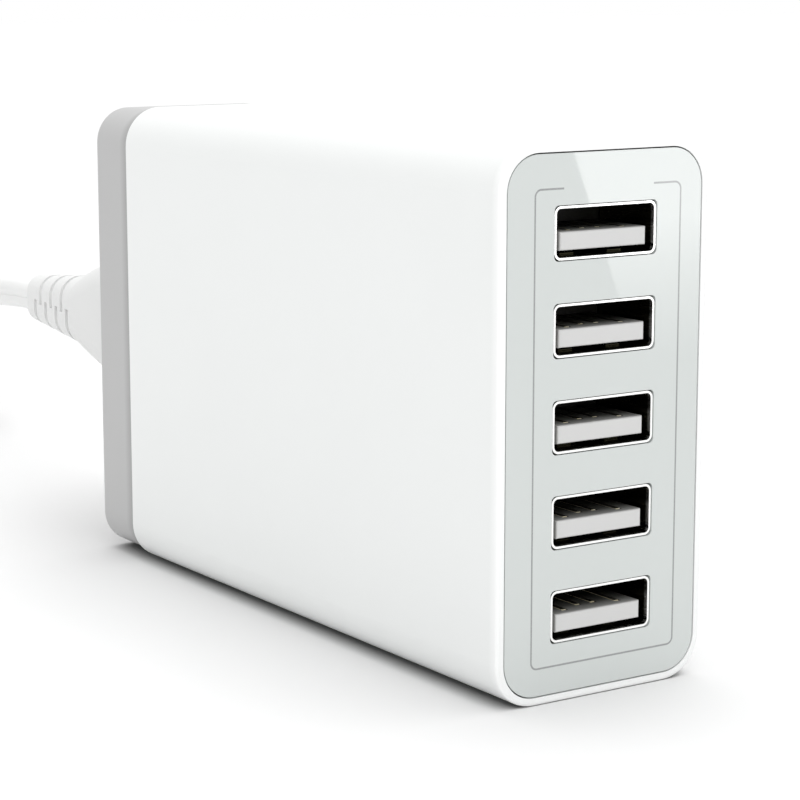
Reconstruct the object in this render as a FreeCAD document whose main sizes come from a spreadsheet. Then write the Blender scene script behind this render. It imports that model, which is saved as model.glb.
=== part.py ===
import FreeCAD, Part
import math
import os
import re

import Sketcher

# Desktop charger with a stack of USB sockets in front and a detachable mains lead behind.
# Millimetres: X runs across, Y from the sockets to the back, Z up. The origin is on the
# surface that the charger stands on, under the middle of its body.

os.makedirs("parts", exist_ok=True)
doc = FreeCAD.newDocument("charger")
sheet = doc.addObject("Spreadsheet::Sheet", "dims")
Vector = FreeCAD.Vector
nodes = []

DIMENSIONS = {
    # body
    "body_width": 27.0,
    "body_height": 58.0,
    "sleeve_depth": 79.7,
    "cap_depth": 9.3,
    "corner_radius": 4.85,
    "sleeve_wall": 1.9,
    "rim_width": 0.87,
    "rim_round": 0.4,
    "cap_inset": 0.45,
    "cap_wall": 1.8,
    "cap_round": 0.7,
    "spigot_length": 4.0,
    "snap_height": 14.0,
    "snap_length": 1.6,
    "snap_depth": 0.5,
    "slide_gap": 0.1,
    # glossy panel, its printed outline and the frame behind it
    "panel_thickness": 1.2,
    "panel_recess": 0.05,
    "panel_gap": 0.15,
    "cutout_gap": 0.1,
    "cutout_round": 0.55,
    "outline_width": 18.8,
    "outline_height": 49.5,
    "outline_round": 0.75,
    "outline_shift": 0.32,
    "outline_line": 0.2,
    "outline_sink": 0.06,
    "outline_open": 11.6,
    "frame_thickness": 1.4,
    "skirt_wall": 0.9,
    "skirt_length": 3.0,
    # sockets
    "port_count": 5,
    "port_pitch": 9.95,
    "shell_width": 12.6,
    "shell_height": 5.0,
    "shell_sheet": 0.24,
    "shell_round": 0.55,
    "shell_length": 13.4,
    "shell_recess": 0.1,
    "finger_width": 1.8,
    "finger_place": 3.1,
    "finger_start": 2.4,
    "finger_length": 6.4,
    "finger_dip": 0.4,
    "finger_slit": 0.25,
    "tongue_width": 11.1,
    "tongue_thickness": 1.9,
    "tongue_drop": 2.42,
    "tongue_setback": 0.5,
    "tongue_edge": 0.2,
    "base_length": 4.2,
    "groove_width": 0.8,
    "groove_sink": 0.4,
    "contact_width": 0.6,
    "contact_sheet": 0.2,
    "contact_bow": 0.2,
    "contact_setback": 0.08,
    "inner_contact_place": 1.0,
    "inner_contact_start": 2.0,
    "outer_contact_place": 3.5,
    "outer_contact_start": 1.05,
    # circuit boards
    "board_thickness": 1.6,
    "board_edge_gap": 0.45,
    "solder_gap": 1.8,
    "rail_thick": 1.0,
    "rail_height": 1.5,
    "rail_setback": 0.4,
    "power_board_length": 58.0,
    "link_height": 20.0,
    "link_depth": 2.5,
    "link_pins": 6,
    "link_pin_width": 0.64,
    "liner_thickness": 0.3,
    "liner_margin": 3.2,
    # transformer, with its winding along the depth
    "transformer_depth": 44.0,
    "core_length": 20.0,
    "core_margin": 16.0,
    "core_thickness": 7.0,
    "core_leg": 7.0,
    "core_side_leg": 4.0,
    "core_bridge": 3.2,
    "flange_thickness": 0.8,
    "flange_reach": 16.6,
    "tube_wall": 0.5,
    "winding_gap": 0.5,
    # choke
    "choke_depth": 66.5,
    "choke_level": 11.0,
    "choke_inner": 3.1,
    "choke_outer": 6.5,
    "choke_tall": 5.0,
    "winding_tall": 6.8,
    "choke_span": 130.0,
    # mains inlet and the connector in it
    "inlet_level": 27.5,
    "inlet_width": 12.4,
    "inlet_height": 18.8,
    "inlet_round": 4.0,
    "inlet_length": 17.0,
    "inlet_flange": 1.6,
    "cavity_length": 13.0,
    "pin_spacing": 8.6,
    "pin_radius": 1.18,
    "pin_short": 3.0,
    "pin_tail": 2.5,
    "tail_width": 1.2,
    "nose_lobe": 4.7,
    "nose_lobe_place": 3.1,
    "nose_waist": 3.9,
    "nose_gap": 0.2,
    "sleeve_tube_wall": 0.5,
    "sleeve_tube_length": 10.0,
    "grip_width": 10.6,
    "grip_height": 16.6,
    "grip_round": 4.2,
    "grip_length": 15.0,
    "grip_stand_off": 0.3,
    "grip_edge": 0.6,
    "neck_width": 9.4,
    "neck_height": 13.4,
    "neck_round": 4.0,
    "neck_end": 22.2,
    "relief_width": 7.8,
    "relief_height": 9.9,
    "relief_round": 3.4,
    "relief_start": 27.7,
    "relief_end": 44.3,
    "relief_tip_width": 5.0,
    "relief_tip_height": 6.8,
    "relief_tip_round": 2.2,
    "relief_skin": 0.7,
    "slot_count": 4,
    "slot_pitch": 4.13,
    "slot_width": 1.0,
    "slot_first": 28.7,
    "slot_overlap": 0.6,
    "relief_sag": 0.3,
    # mains lead
    "cord_width": 4.8,
    "cord_thickness": 2.6,
    "coil_run": 96.0,
    "coil_inside": 13.1,
    "coil_bundle": 6.7,
    "coil_height": 14.7,
    "coil_clear": 2.8,
    "coil_notch": 37.0,
    "tie_sheet": 0.6,
    "tie_width": 5.0,
    "tie_gap": 0.25,
    "tie_round": 0.5,
    # mains plug at the far end of the lead
    "plug_width": 20.0,
    "plug_height": 13.0,
    "plug_length": 19.0,
    "plug_round": 3.0,
    "plug_edge": 1.0,
    "plug_neck_width": 9.0,
    "plug_neck_height": 8.0,
    "plug_neck_length": 6.0,
    "plug_tail_width": 5.0,
    "plug_tail_height": 6.2,
    "plug_tail_length": 10.0,
    "plug_slot_pitch": 2.2,
    "plug_slot_first": 2.0,
    "blade_spacing": 12.7,
    "blade_width": 6.35,
    "blade_sheet": 1.5,
    "blade_length": 16.5,
    "blade_tip": 1.4,
    "blade_root": 6.0,
    "blade_hole": 1.6,
    "blade_hole_place": 11.9,
}

# Blocks on the power board: along the depth, upwards, out of the board, depth of the middle,
# and its level above the floor (low), above the middle of the body (middle) or above its top (top).
BLOCKS = {
    "film_capacitor": (12.0, 6.0, 10.0, 67.0, -9.0, "top"),
    "bridge_rectifier": (6.5, 5.0, 2.6, 57.5, -11.5, "top"),
    "heat_sink": (20.0, 1.6, 15.0, 45.5, -6.5, "top"),
    "power_transistor": (10.0, 4.4, 14.0, 45.5, -9.5, "top"),
    "control_chip": (9.4, 6.4, 3.4, 29.0, 9.0, "middle"),
    "optocoupler": (4.6, 6.5, 3.4, 29.0, 0.0, "middle"),
    "output_rectifier": (6.0, 5.0, 1.6, 29.0, -9.0, "middle"),
}

# Cans and discs standing on the power board: radius, length, depth and level of the axis.
CANS = {
    "bulk_capacitor_1": (5.0, 17.0, 53.0, 9.0, "low"),
    "bulk_capacitor_2": (5.0, 17.0, 41.0, 9.0, "low"),
    "output_capacitor_1": (4.0, 13.0, 21.5, 9.0, "low"),
    "output_capacitor_2": (4.0, 13.0, 21.5, -9.5, "top"),
    "output_capacitor_3": (4.0, 13.0, 29.8, -9.5, "top"),
    "thermistor": (3.6, 4.0, 57.0, -8.5, "middle"),
    "suppression_capacitor": (3.4, 3.4, 30.0, 9.5, "low"),
}

# The lead's free stretches, from the connector to the coil and from the coil to the plug.
LEAD_ROUTE = [(0, 88.8, 27.2), (0, 116, 27.2), (12.2, 138, 13.1), (12.2, 158, 13.1)]
TAIL_ROUTE = [(-20.7, 243, 3.3), (-20.7, 227.5, 3.3), (-7.3, 205.5, 6.5), (-7.3, 190, 6.5)]
COIL_MIDDLE = (-6.3, 195)


def write_cells(values):
    """Adds rows of a name and a plain number to the sheet."""
    for alias, value in values.items():
        row = len(sheet.getUsedCells()) // 2 + 1
        sheet.set(f"A{row}", alias)
        sheet.set(f"B{row}", str(value))
        sheet.setAlias(f"B{row}", alias)


write_cells(DIMENSIONS)
BLOCK_SIZES = ("long", "high", "tall", "depth", "level")
CAN_SIZES = ("radius", "tall", "depth", "level")
for table, words in ((BLOCKS, BLOCK_SIZES), (CANS, CAN_SIZES)):
    for name, values in table.items():
        write_cells({f"{name}_{word}": value for word, value in zip(words, values)})
doc.recompute()


def formula(text):
    """Turns the words of a formula into cells of the sheet."""
    return re.sub(r"[a-z]\w*", lambda word: f"dims.{word.group()}", text)


def size(text):
    """The value that a formula has now."""
    return float(sheet.evalExpression(formula(text)))


def bind(thing, prop, text):
    thing.setExpression(prop, formula(text))


# Formulas that several pieces share
HALF_DEPTH = "(sleeve_depth + cap_depth) / 2"
FULL_DEPTH = "(sleeve_depth + cap_depth)"
CAVITY_WIDTH = "(body_width - 2 * sleeve_wall)"
CAVITY_HEIGHT = "(body_height - 2 * sleeve_wall)"
CAVITY_ROUND = "(corner_radius - sleeve_wall)"
MIDDLE = "body_height / 2"
LEVELS = {"low": "0", "middle": MIDDLE, "top": "body_height"}
FRAME_FRONT = "(panel_recess + panel_thickness)"
LEDGE = f"({FRAME_FRONT} + frame_thickness)"
SHELL_OUT_WIDTH = "(shell_width + 2 * shell_sheet)"
SHELL_OUT_HEIGHT = "(shell_height + 2 * shell_sheet)"
SHELL_BACK = "(panel_recess + shell_length)"
RAIL_START = f"({SHELL_BACK} + board_thickness + rail_setback)"
BOARD_BACK = f"({CAVITY_WIDTH} / 2 - solder_gap)"
BOARD_FACE = f"({BOARD_BACK} - board_thickness)"
BOARD_START = f"({RAIL_START} + rail_setback)"
TONGUE_TOP = "(shell_height / 2 - tongue_drop)"
TONGUE_FRONT = "(panel_recess + tongue_setback)"
BASE_FRONT = f"({SHELL_BACK} - base_length)"


def port_level(place):
    """The height of the middle of a socket, counted from the lowest."""
    return f"({MIDDLE} + port_pitch * ({place} - (port_count - 1) / 2))"


def new_body(label):
    """An empty body that becomes a node."""
    body = doc.addObject("PartDesign::Body", label)
    body.Label = label
    nodes.append(body)
    return body


def new_sketch(body, plane, out, across="0", up="0"):
    """An empty sketch, parallel to one of the body's own planes."""
    sketch = body.newObject("Sketcher::SketchObject", f"{body.Name}_sketch")
    support = next(item for item in body.Origin.OriginFeatures if item.Role == plane)
    sketch.AttachmentSupport = [(support, "")]
    sketch.MapMode = "FlatFace"
    for axis, text in zip("xyz", (across, up, out)):
        bind(sketch, f"AttachmentOffset.Base.{axis}", text)
    return sketch


def slice_at(body, depth, across="0", up="0"):
    """A sketch that looks along the depth, so far behind the front rim."""
    return new_sketch(body, "XZ_Plane", f"{HALF_DEPTH} - ({depth})", across, up)


def constrain(sketch, kind, *place, text):
    """A measured constraint, bound to its formula."""
    index = sketch.addConstraint(Sketcher.Constraint(kind, *place, size(text)))
    bind(sketch, f"Constraints[{index}]", text)


def polygon(sketch, corners):
    """A closed outline through corners, each a pair of formulas."""
    points = [Vector(size(across), size(up), 0) for across, up in corners]
    first = sketch.GeometryCount
    for here, there in zip(points, points[1:] + points[:1]):
        sketch.addGeometry(Part.LineSegment(here, there), False)
    for number, (across, up) in enumerate(corners):
        line = first + number
        after = first + (number + 1) % len(corners)
        sketch.addConstraint(Sketcher.Constraint("Coincident", line, 2, after, 1))
        constrain(sketch, "DistanceX", -1, 1, line, 1, text=across)
        constrain(sketch, "DistanceY", -1, 1, line, 1, text=up)


def rectangle(sketch, width, height, across="0", up="0"):
    """A sharp rectangle round a middle."""
    left, right = f"{across} - {width} / 2", f"{across} + {width} / 2"
    low, high = f"{up} - {height} / 2", f"{up} + {height} / 2"
    polygon(sketch, [(left, low), (right, low), (right, high), (left, high)])


def rounded_rectangle(sketch, width, height, radius, across="0", up="0"):
    """A rectangle with round corners, round a middle."""
    bend = size(radius)
    inner_wide, inner_high = size(width) / 2 - bend, size(height) / 2 - bend
    middle = Vector(size(across), size(up), 0)
    corners = [
        middle + Vector(side * inner_wide, end * inner_high, 0)
        for side, end in ((1, -1), (1, 1), (-1, 1), (-1, -1))
    ]
    first = sketch.GeometryCount
    for number, corner in enumerate(corners):
        start = (number - 1) * math.pi / 2
        circle = Part.Circle(corner, Vector(0, 0, 1), bend)
        sketch.addGeometry(Part.ArcOfCircle(circle, start, start + math.pi / 2), False)
    for number, corner in enumerate(corners):
        outward = Vector(math.cos(number * math.pi / 2), math.sin(number * math.pi / 2), 0) * bend
        after = corners[(number + 1) % 4]
        sketch.addGeometry(Part.LineSegment(corner + outward, after + outward), False)
    for number in range(4):
        arc, line, after = first + number, first + 4 + number, first + (number + 1) % 4
        sketch.addConstraint(Sketcher.Constraint("Tangent", arc, 2, line, 1))
        sketch.addConstraint(Sketcher.Constraint("Tangent", line, 2, after, 1))
        sketch.addConstraint(Sketcher.Constraint("Vertical" if number % 2 == 0 else "Horizontal", line))
        if number:
            sketch.addConstraint(Sketcher.Constraint("Equal", first, arc))
    constrain(sketch, "Radius", first, text=radius)
    constrain(sketch, "DistanceX", first + 6, 1, first + 4, 1, text=width)
    constrain(sketch, "DistanceY", first + 7, 1, first + 5, 1, text=height)
    constrain(sketch, "DistanceX", -1, 1, first + 3, 3, text=f"{across} - {width} / 2 + {radius}")
    constrain(sketch, "DistanceY", -1, 1, first + 3, 3, text=f"{up} - {height} / 2 + {radius}")


def round_hole(sketch, radius, across="0", up="0"):
    """A circle in a sketch."""
    circle = Part.Circle(Vector(size(across), size(up), 0), Vector(0, 0, 1), size(radius))
    number = sketch.addGeometry(circle, False)
    constrain(sketch, "Radius", number, text=radius)
    constrain(sketch, "DistanceX", -1, 1, number, 3, text=across)
    constrain(sketch, "DistanceY", -1, 1, number, 3, text=up)


def two_lobes(sketch, radius, place, waist):
    """The figure-eight outline of a two-pin connector, standing upright."""
    bend, reach, half = size(radius), size(place), size(waist)
    turn = math.acos(half / bend)
    fall = math.sqrt(bend * bend - half * half)
    for side in (1, -1):
        start = -turn if side == 1 else math.pi - turn
        circle = Part.Circle(Vector(0, side * reach, 0), Vector(0, 0, 1), bend)
        sketch.addGeometry(Part.ArcOfCircle(circle, start, start + math.pi + 2 * turn), False)
    for side in (-1, 1):
        top, bottom = Vector(side * half, reach - fall, 0), Vector(side * half, fall - reach, 0)
        ends = (top, bottom) if side == -1 else (bottom, top)
        sketch.addGeometry(Part.LineSegment(*ends), False)
    for here, there in ((0, 2), (2, 1), (1, 3), (3, 0)):
        sketch.addConstraint(Sketcher.Constraint("Coincident", here, 2, there, 1))
    for line in (2, 3):
        sketch.addConstraint(Sketcher.Constraint("Vertical", line))
    sketch.addConstraint(Sketcher.Constraint("Equal", 0, 1))
    constrain(sketch, "Radius", 0, text=radius)
    for arc, side in ((0, ""), (1, "-")):
        constrain(sketch, "DistanceX", -1, 1, arc, 3, text="0")
        constrain(sketch, "DistanceY", -1, 1, arc, 3, text=f"{side}({place})")
    constrain(sketch, "DistanceX", -1, 1, 2, 1, text=f"-({waist})")
    constrain(sketch, "DistanceX", -1, 1, 3, 1, text=waist)


def grow(body, kind, sketch, length, reverse):
    """Pads or pockets a sketch; a slice is padded backwards with reverse."""
    feature = body.newObject(f"PartDesign::{kind}", f"{body.Name}_{kind.lower()}")
    feature.Profile = sketch
    bind(feature, "Length", length)
    feature.Reversed = reverse
    return feature


def pad(body, sketch, length, reverse=True):
    return grow(body, "Pad", sketch, length, reverse)


def pocket(body, sketch, length, reverse=False):
    return grow(body, "Pocket", sketch, length, reverse)


def loft(body, sketches):
    """A skin over two or more slices."""
    feature = body.newObject("PartDesign::AdditiveLoft", f"{body.Name}_loft")
    feature.Profile = sketches[0]
    feature.Sections = sketches[1:]
    feature.Ruled = len(sketches) == 2
    return feature


def round_edges(body, feature, radius, level):
    """Rounds every edge of a feature that lies at one place along the depth."""
    doc.recompute()
    names = []
    for number, edge in enumerate(feature.Shape.Edges, start=1):
        box = edge.BoundBox
        if max(abs(box.YMin - level), abs(box.YMax - level)) < 1e-4:
            names.append(f"Edge{number}")
    fillet = body.newObject("PartDesign::Fillet", f"{body.Name}_fillet")
    fillet.Base = (feature, names)
    bind(fillet, "Radius", radius)


TURNS = {
    "X": FreeCAD.Rotation(Vector(0, 1, 0), 90),
    "Y": FreeCAD.Rotation(Vector(1, 0, 0), -90),
    "Z": FreeCAD.Rotation(),
}


def place(thing, corner, turn="Z"):
    """Puts a primitive at a corner, each coordinate a formula, with its axis along X, Y or Z."""
    thing.Placement = FreeCAD.Placement(Vector(), TURNS[turn])
    for axis, text in zip("xyz", corner):
        bind(thing, f"Placement.Base.{axis}", text)


def block(label, lengths, corner):
    """A plain block from its lowest corner."""
    box = doc.addObject("Part::Box", label)
    for prop, text in zip(("Length", "Width", "Height"), lengths):
        bind(box, prop, text)
    place(box, corner)
    return box


def rod(label, radius, length, start, axis):
    """A round bar along X, Y or Z."""
    cylinder = doc.addObject("Part::Cylinder", label)
    bind(cylinder, "Radius", radius)
    bind(cylinder, "Height", length)
    place(cylinder, start, axis)
    return cylinder


def keep(thing, label):
    """Makes an object a node."""
    thing.Label = label
    nodes.append(thing)
    return thing


def joined(label, things):
    """Several shapes in one node."""
    fuse = doc.addObject("Part::MultiFuse", label)
    fuse.Shapes = things
    return keep(fuse, label)


def at_depth(depth):
    """The Y of a place so far behind the front rim."""
    return f"({depth}) - {HALF_DEPTH}"


def make_sleeve():
    """The white outer sleeve, a moulded tube with a thin rim round the panel and rails for the boards."""
    body = new_body("housing_sleeve")
    outer = slice_at(body, "0", up=MIDDLE)
    rounded_rectangle(outer, "body_width", "body_height", "corner_radius")
    round_edges(body, pad(body, outer, "sleeve_depth"), "rim_round", -size(HALF_DEPTH))
    recess = slice_at(body, "0", up=MIDDLE)
    inset = "2 * rim_width"
    rounded_rectangle(
        recess, f"(body_width - {inset})", f"(body_height - {inset})", "(corner_radius - rim_width)"
    )
    pocket(body, recess, LEDGE)
    cavity = slice_at(body, "0", up=MIDDLE)
    rounded_rectangle(cavity, CAVITY_WIDTH, CAVITY_HEIGHT, CAVITY_ROUND)
    pocket(body, cavity, "sleeve_depth")
    rails = slice_at(body, RAIL_START)
    inner = f"({BOARD_FACE} - slide_gap - rail_thick / 2)"
    outer_rail = f"({BOARD_BACK} + slide_gap + rail_thick / 2)"
    root = "(rail_height + sleeve_wall / 2)"
    low = f"(sleeve_wall / 2 + {root} / 2)"
    for across in (inner, outer_rail):
        for up in (low, f"(body_height - {low})"):
            rectangle(rails, "rail_thick", root, across, up)
    pad(body, rails, f"sleeve_depth - spigot_length - rail_setback - {RAIL_START}")
    for side in (1, -1):
        notch = slice_at(body, "sleeve_depth - spigot_length / 2 - snap_length / 2 - slide_gap", up=MIDDLE)
        middle = f"{side} * {CAVITY_WIDTH} / 2"
        rectangle(notch, "2 * (snap_depth + slide_gap)", "(snap_height + 2 * slide_gap)", middle)
        pocket(body, notch, "snap_length + 2 * slide_gap")


def make_cap():
    """The grey rear cap: a shallow cup whose spigot snaps into the sleeve and holds the inlet."""
    body = new_body("rear_cap")
    outer = slice_at(body, "sleeve_depth", up=MIDDLE)
    inset = "2 * cap_inset"
    rounded_rectangle(
        outer, f"(body_width - {inset})", f"(body_height - {inset})", "(corner_radius - cap_inset)"
    )
    round_edges(body, pad(body, outer, "cap_depth"), "cap_round", size(HALF_DEPTH))
    start = "sleeve_depth - spigot_length"
    spigot_width = f"({CAVITY_WIDTH} - 2 * slide_gap)"
    spigot_height = f"({CAVITY_HEIGHT} - 2 * slide_gap)"
    spigot = slice_at(body, start, up=MIDDLE)
    rounded_rectangle(spigot, spigot_width, spigot_height, f"({CAVITY_ROUND} - slide_gap)")
    pad(body, spigot, "spigot_length")
    for side in (1, -1):
        snap = slice_at(body, f"{start} + spigot_length / 2 - snap_length / 2", up=MIDDLE)
        rectangle(snap, "2 * snap_depth", "snap_height", f"{side} * ({spigot_width} / 2)")
        pad(body, snap, "snap_length")
    hollow = slice_at(body, start, up=MIDDLE)
    thin = "2 * (slide_gap + cap_wall)"
    rounded_rectangle(hollow, f"({CAVITY_WIDTH} - {thin})", f"({CAVITY_HEIGHT} - {thin})", "(cap_wall / 2)")
    pocket(body, hollow, "spigot_length + cap_depth - cap_wall")
    window = slice_at(body, f"{FULL_DEPTH} - cap_wall", up="inlet_level")
    loose = "2 * slide_gap"
    rounded_rectangle(
        window, f"(inlet_width + {loose})", f"(inlet_height + {loose})", "(inlet_round + slide_gap)"
    )
    pocket(body, window, "cap_wall")


def panel_outline(body, depth):
    """The two outlines of the panel, in a slice."""
    plate = slice_at(body, depth, up=MIDDLE)
    inset = "2 * (rim_width + panel_gap)"
    rounded_rectangle(
        plate,
        f"(body_width - {inset})",
        f"(body_height - {inset})",
        "(corner_radius - rim_width - panel_gap)",
    )
    return plate


def port_windows(body, depth, gap, radius):
    """A slice with one window for each socket."""
    windows = slice_at(body, depth)
    for number in range(int(size("port_count"))):
        rounded_rectangle(
            windows,
            f"({SHELL_OUT_WIDTH} + 2 * {gap})",
            f"({SHELL_OUT_HEIGHT} + 2 * {gap})",
            radius,
            up=port_level(number),
        )
    return windows


def outline_ring(body):
    """A slice with both edges of the line printed round the sockets."""
    ring = slice_at(body, "panel_recess", up=MIDDLE)
    for side in ("+", "-"):
        rounded_rectangle(
            ring,
            f"(outline_width {side} outline_line)",
            f"(outline_height {side} outline_line)",
            f"(outline_round {side} outline_line / 2)",
            "outline_shift",
            "(-outline_shift)",
        )
    return ring


def outline_gap(body):
    """A slice over the open stretch at the top of that line."""
    gap = slice_at(body, "panel_recess", up=MIDDLE)
    rectangle(gap, "outline_open", "outline_line", "outline_shift", "(outline_height / 2 - outline_shift)")
    return gap


def make_front():
    """The glossy panel with its sunk outline, and the frame behind it that the sockets are pushed through."""
    panel = new_body("front_panel")
    pad(panel, panel_outline(panel, "panel_recess"), "panel_thickness")
    pocket(panel, port_windows(panel, "panel_recess", "cutout_gap", "cutout_round"), "panel_thickness")
    pocket(panel, outline_ring(panel), "outline_sink")
    pad(panel, outline_gap(panel), "outline_sink")
    line = new_body("panel_line")
    pad(line, outline_ring(line), "outline_sink")
    pocket(line, outline_gap(line), "outline_sink")
    frame = new_body("port_frame")
    pad(frame, panel_outline(frame, FRAME_FRONT), "frame_thickness")
    skirts = "(slide_gap + skirt_wall)"
    pad(frame, port_windows(frame, LEDGE, skirts, "(shell_round + shell_sheet + skirt_wall)"), "skirt_length")
    openings = port_windows(frame, FRAME_FRONT, "slide_gap", "(shell_round + shell_sheet)")
    pocket(frame, openings, "frame_thickness + skirt_length")


def finger_outline(sketch, side):
    """The side view of a spring finger, folded inwards from the shell's upper or lower wall."""
    root = f"({at_depth('panel_recess + finger_start + finger_length')})"
    bend = f"({root} - finger_length * 0.7)"
    tip = f"({root} - finger_length + finger_slit)"
    face = f"{side} * (shell_height / 2)"
    sheet_up = f"{side} * shell_sheet"
    dip = f"{side} * finger_dip"
    lower = [(root, face), (bend, f"{face} - {dip}"), (tip, f"{face} - {dip} / 3")]
    upper = [(across, f"{up} + {sheet_up}") for across, up in reversed(lower)]
    polygon(sketch, lower + upper)


def make_shell(number):
    """The folded metal shell of a socket, open in front, with two spring fingers above and two below."""
    shell = new_body(f"usb_shell_{number + 1}")
    bind(shell, "Placement.Base.z", port_level(number))
    outer = slice_at(shell, "panel_recess + shell_recess")
    rounded_rectangle(outer, SHELL_OUT_WIDTH, SHELL_OUT_HEIGHT, "(shell_round + shell_sheet)")
    pad(shell, outer, "shell_length - shell_recess")
    inner = slice_at(shell, "panel_recess")
    rounded_rectangle(inner, "shell_width", "shell_height", "shell_round")
    pocket(shell, inner, "shell_length")
    slits = new_sketch(shell, "XY_Plane", SHELL_OUT_HEIGHT)
    middle = at_depth("panel_recess + finger_start + finger_length / 2")
    for side in (1, -1):
        width = "(finger_width + 2 * finger_slit)"
        rectangle(slits, width, "finger_length", f"{side} * finger_place", f"({middle})")
    pocket(shell, slits, f"2 * {SHELL_OUT_HEIGHT}")
    for side in (1, -1):
        fingers = new_sketch(shell, "YZ_Plane", f"{side} * finger_place - finger_width / 2")
        finger_outline(fingers, 1)
        finger_outline(fingers, -1)
        pad(shell, fingers, "finger_width", reverse=False)


def contact_places():
    """The four contacts of a socket from left to right: each one's place, and where it starts."""
    return [
        ("-outer_contact_place", "outer_contact_start"),
        ("-inner_contact_place", "inner_contact_start"),
        ("inner_contact_place", "inner_contact_start"),
        ("outer_contact_place", "outer_contact_start"),
    ]


def make_insulator(number):
    """The moulded insulator: a block that closes the shell and a tongue with four contact grooves."""
    body = new_body(f"usb_insulator_{number + 1}")
    bind(body, "Placement.Base.z", port_level(number))
    base = slice_at(body, BASE_FRONT)
    loose = "2 * slide_gap"
    rounded_rectangle(base, f"(shell_width - {loose})", f"(shell_height - {loose})", "shell_round")
    pad(body, base, "base_length")
    tongue = slice_at(body, TONGUE_FRONT)
    rectangle(tongue, "tongue_width", "tongue_thickness", up=f"({TONGUE_TOP} - tongue_thickness / 2)")
    plain = pad(body, tongue, f"{BASE_FRONT} - {TONGUE_FRONT}")
    round_edges(body, plain, "tongue_edge", size(at_depth(TONGUE_FRONT)))
    for across, start in contact_places():
        groove = slice_at(body, f"{TONGUE_FRONT} + {start}")
        rectangle(groove, "groove_width", "groove_sink", across, f"({TONGUE_TOP} - groove_sink / 2)")
        pocket(body, groove, f"{SHELL_BACK} - {TONGUE_FRONT} - {start}")


def make_contacts(number):
    """Four sprung contacts in the tongue's grooves, each with a crest behind its tip."""
    body = new_body(f"usb_contacts_{number + 1}")
    bind(body, "Placement.Base.z", port_level(number))
    floor = f"({TONGUE_TOP} - groove_sink)"
    back = f"({at_depth(SHELL_BACK)})"
    for across, start in contact_places():
        tip = f"({at_depth(TONGUE_FRONT)} + {start} + contact_setback)"
        lower = [
            (tip, floor),
            (f"({tip} + 1.5 * contact_bow)", f"{floor} + contact_bow"),
            (f"({tip} + 4 * contact_bow)", floor),
            (back, floor),
        ]
        upper = [(along, f"{up} + contact_sheet") for along, up in reversed(lower)]
        side_view = new_sketch(body, "YZ_Plane", f"{across} - contact_width / 2")
        polygon(side_view, lower + upper)
        pad(body, side_view, "contact_width", reverse=False)


def make_boards():
    """The board that carries the sockets, the power board in its rails, and what joins and lines them."""
    port_board = new_body("port_board")
    plate = slice_at(port_board, SHELL_BACK, up=MIDDLE)
    loose = "2 * slide_gap"
    rounded_rectangle(
        plate, f"({CAVITY_WIDTH} - {loose})", f"({CAVITY_HEIGHT} - {loose})", f"({CAVITY_ROUND} - slide_gap)"
    )
    pad(port_board, plate, "board_thickness")
    edge = "(sleeve_wall + board_edge_gap)"
    board = block(
        "power_board",
        ("board_thickness", "power_board_length", f"body_height - 2 * {edge}"),
        (BOARD_FACE, at_depth(BOARD_START), edge),
    )
    keep(board, "power_board")
    liner = block(
        "insulating_liner",
        ("liner_thickness", "power_board_length", f"{CAVITY_HEIGHT} - 2 * liner_margin"),
        (
            f"{CAVITY_WIDTH} / 2 - slide_gap / 2 - liner_thickness",
            at_depth(BOARD_START),
            "sleeve_wall + liner_margin",
        ),
    )
    keep(liner, "insulating_liner")
    back = f"({SHELL_BACK} + board_thickness)"
    strip = block(
        "link_strip",
        ("link_depth", "link_depth", "link_height"),
        (f"{BOARD_FACE} - link_depth", at_depth(BOARD_START), f"{MIDDLE} - link_height / 2"),
    )
    pins = [strip]
    for number in range(int(size("link_pins"))):
        level = f"{MIDDLE} + link_height * (({number} + 0.5) / link_pins - 0.5)"
        pins.append(
            block(
                f"link_pin_{number + 1}",
                ("link_pin_width", f"{BOARD_START} - {back}", "link_pin_width"),
                (
                    f"{BOARD_FACE} - link_depth / 2 - link_pin_width / 2",
                    at_depth(back),
                    f"{level} - link_pin_width / 2",
                ),
            )
        )
    joined("board_link", pins)


def make_components():
    """The blocks, cans and discs soldered to the power board."""
    for name, values in BLOCKS.items():
        part = block(
            name,
            (f"{name}_tall", f"{name}_long", f"{name}_high"),
            (
                f"{BOARD_FACE} - {name}_tall",
                at_depth(f"{name}_depth - {name}_long / 2"),
                f"{LEVELS[values[-1]]} + {name}_level - {name}_high / 2",
            ),
        )
        keep(part, name)
    for name, values in CANS.items():
        level = f"{LEVELS[values[-1]]} + {name}_level"
        start = (f"{BOARD_FACE} - {name}_tall", at_depth(f"{name}_depth"), level)
        keep(rod(name, f"{name}_radius", f"{name}_tall", start, "X"), name)


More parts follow.
